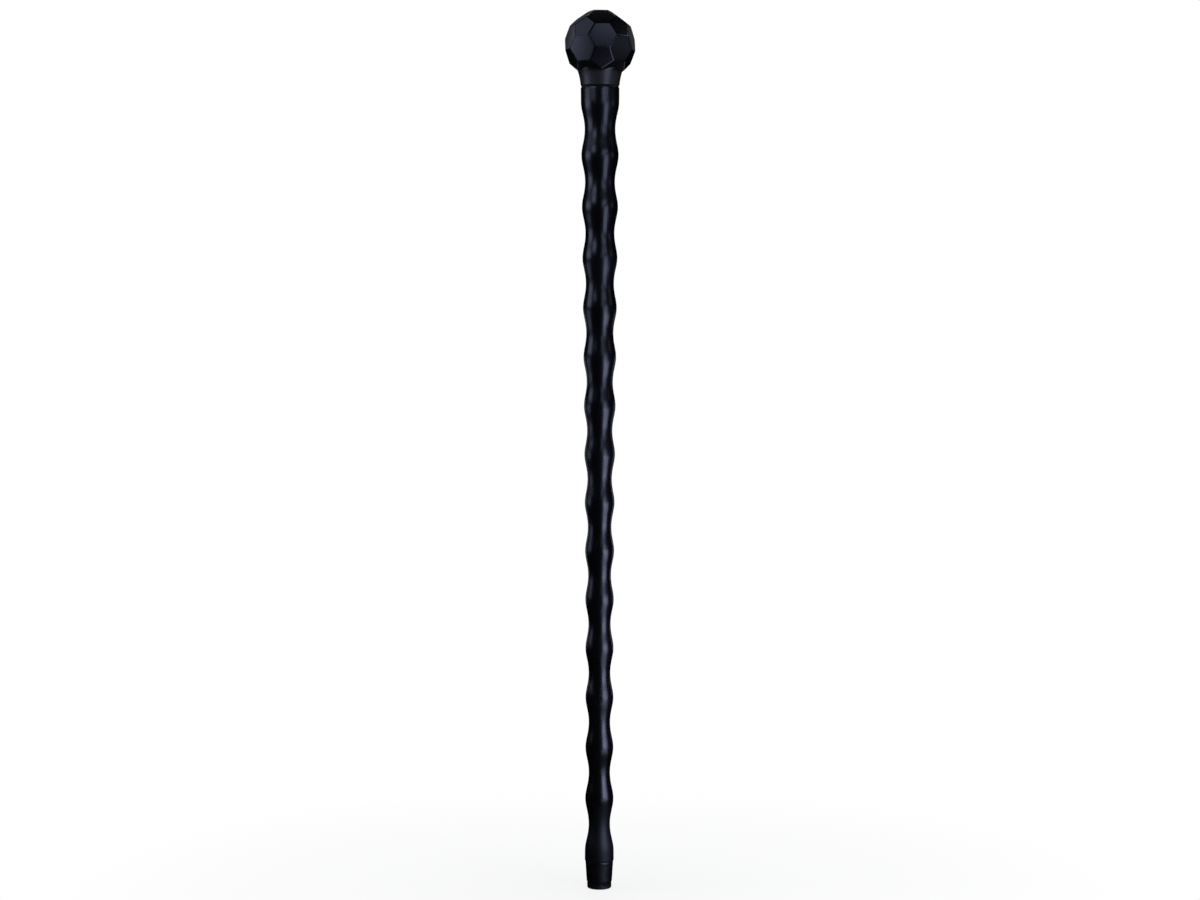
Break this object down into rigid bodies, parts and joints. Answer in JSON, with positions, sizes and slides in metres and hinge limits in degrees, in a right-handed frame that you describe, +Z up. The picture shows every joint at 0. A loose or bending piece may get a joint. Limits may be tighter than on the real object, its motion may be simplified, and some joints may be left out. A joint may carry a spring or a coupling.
{
  "type": "knobbed walking stick",
  "caption": "Upright walking stick with a faceted ball knob, a short flared neck, a tapering lobed shaft and a push-on rubber ferrule; the knob unscrews on a stud.",
  "frame": {"origin": "centre of the ferrule's sole, on the ground", "axes": "+Z up along the stick's axis to the knob, -Y the side that the picture shows, +X to its right"},
  "size_m": [0.076, 0.0754, 0.953],
  "materials": {
    "moulding": "near-black moulded polypropylene, satin gloss",
    "rubber": "black moulded rubber, soft sheen",
    "fibre": "matt black fibre washer",
    "steel": "zinc-plated steel",
    "brass": "machined brass"
  },
  "bodies": {
    "ferrule": {"ferrule": "rubber", "ferrule_washer": "steel"},
    "stick": {"shaft": "moulding", "shaft_insert": "brass"},
    "washer": {"joint_washer": "fibre"},
    "knob": {"knob": "moulding", "knob_insert": "brass", "joining_stud": "steel"}
  },
  "joints": [
    {"name": "stick_pull", "type": "slide", "parent": "ferrule", "child": "stick", "axis": [0, 0, 1], "range_m": [0, 0.026]},
    {"name": "knob_lift", "type": "slide", "parent": "stick", "child": "washer", "axis": [0, 0, 1], "range_m": [0, 0.0205]},
    {"name": "knob_turn", "type": "hinge", "parent": "washer", "child": "knob", "pos_m": [0, 0, 0.8725], "axis": [0, 0, 1], "range_deg": [0, 4860]}
  ],
  "couplings": [
    {"joint": "knob_lift", "follows": "knob_turn", "m_per_rad": 0.00023873}
  ]
}
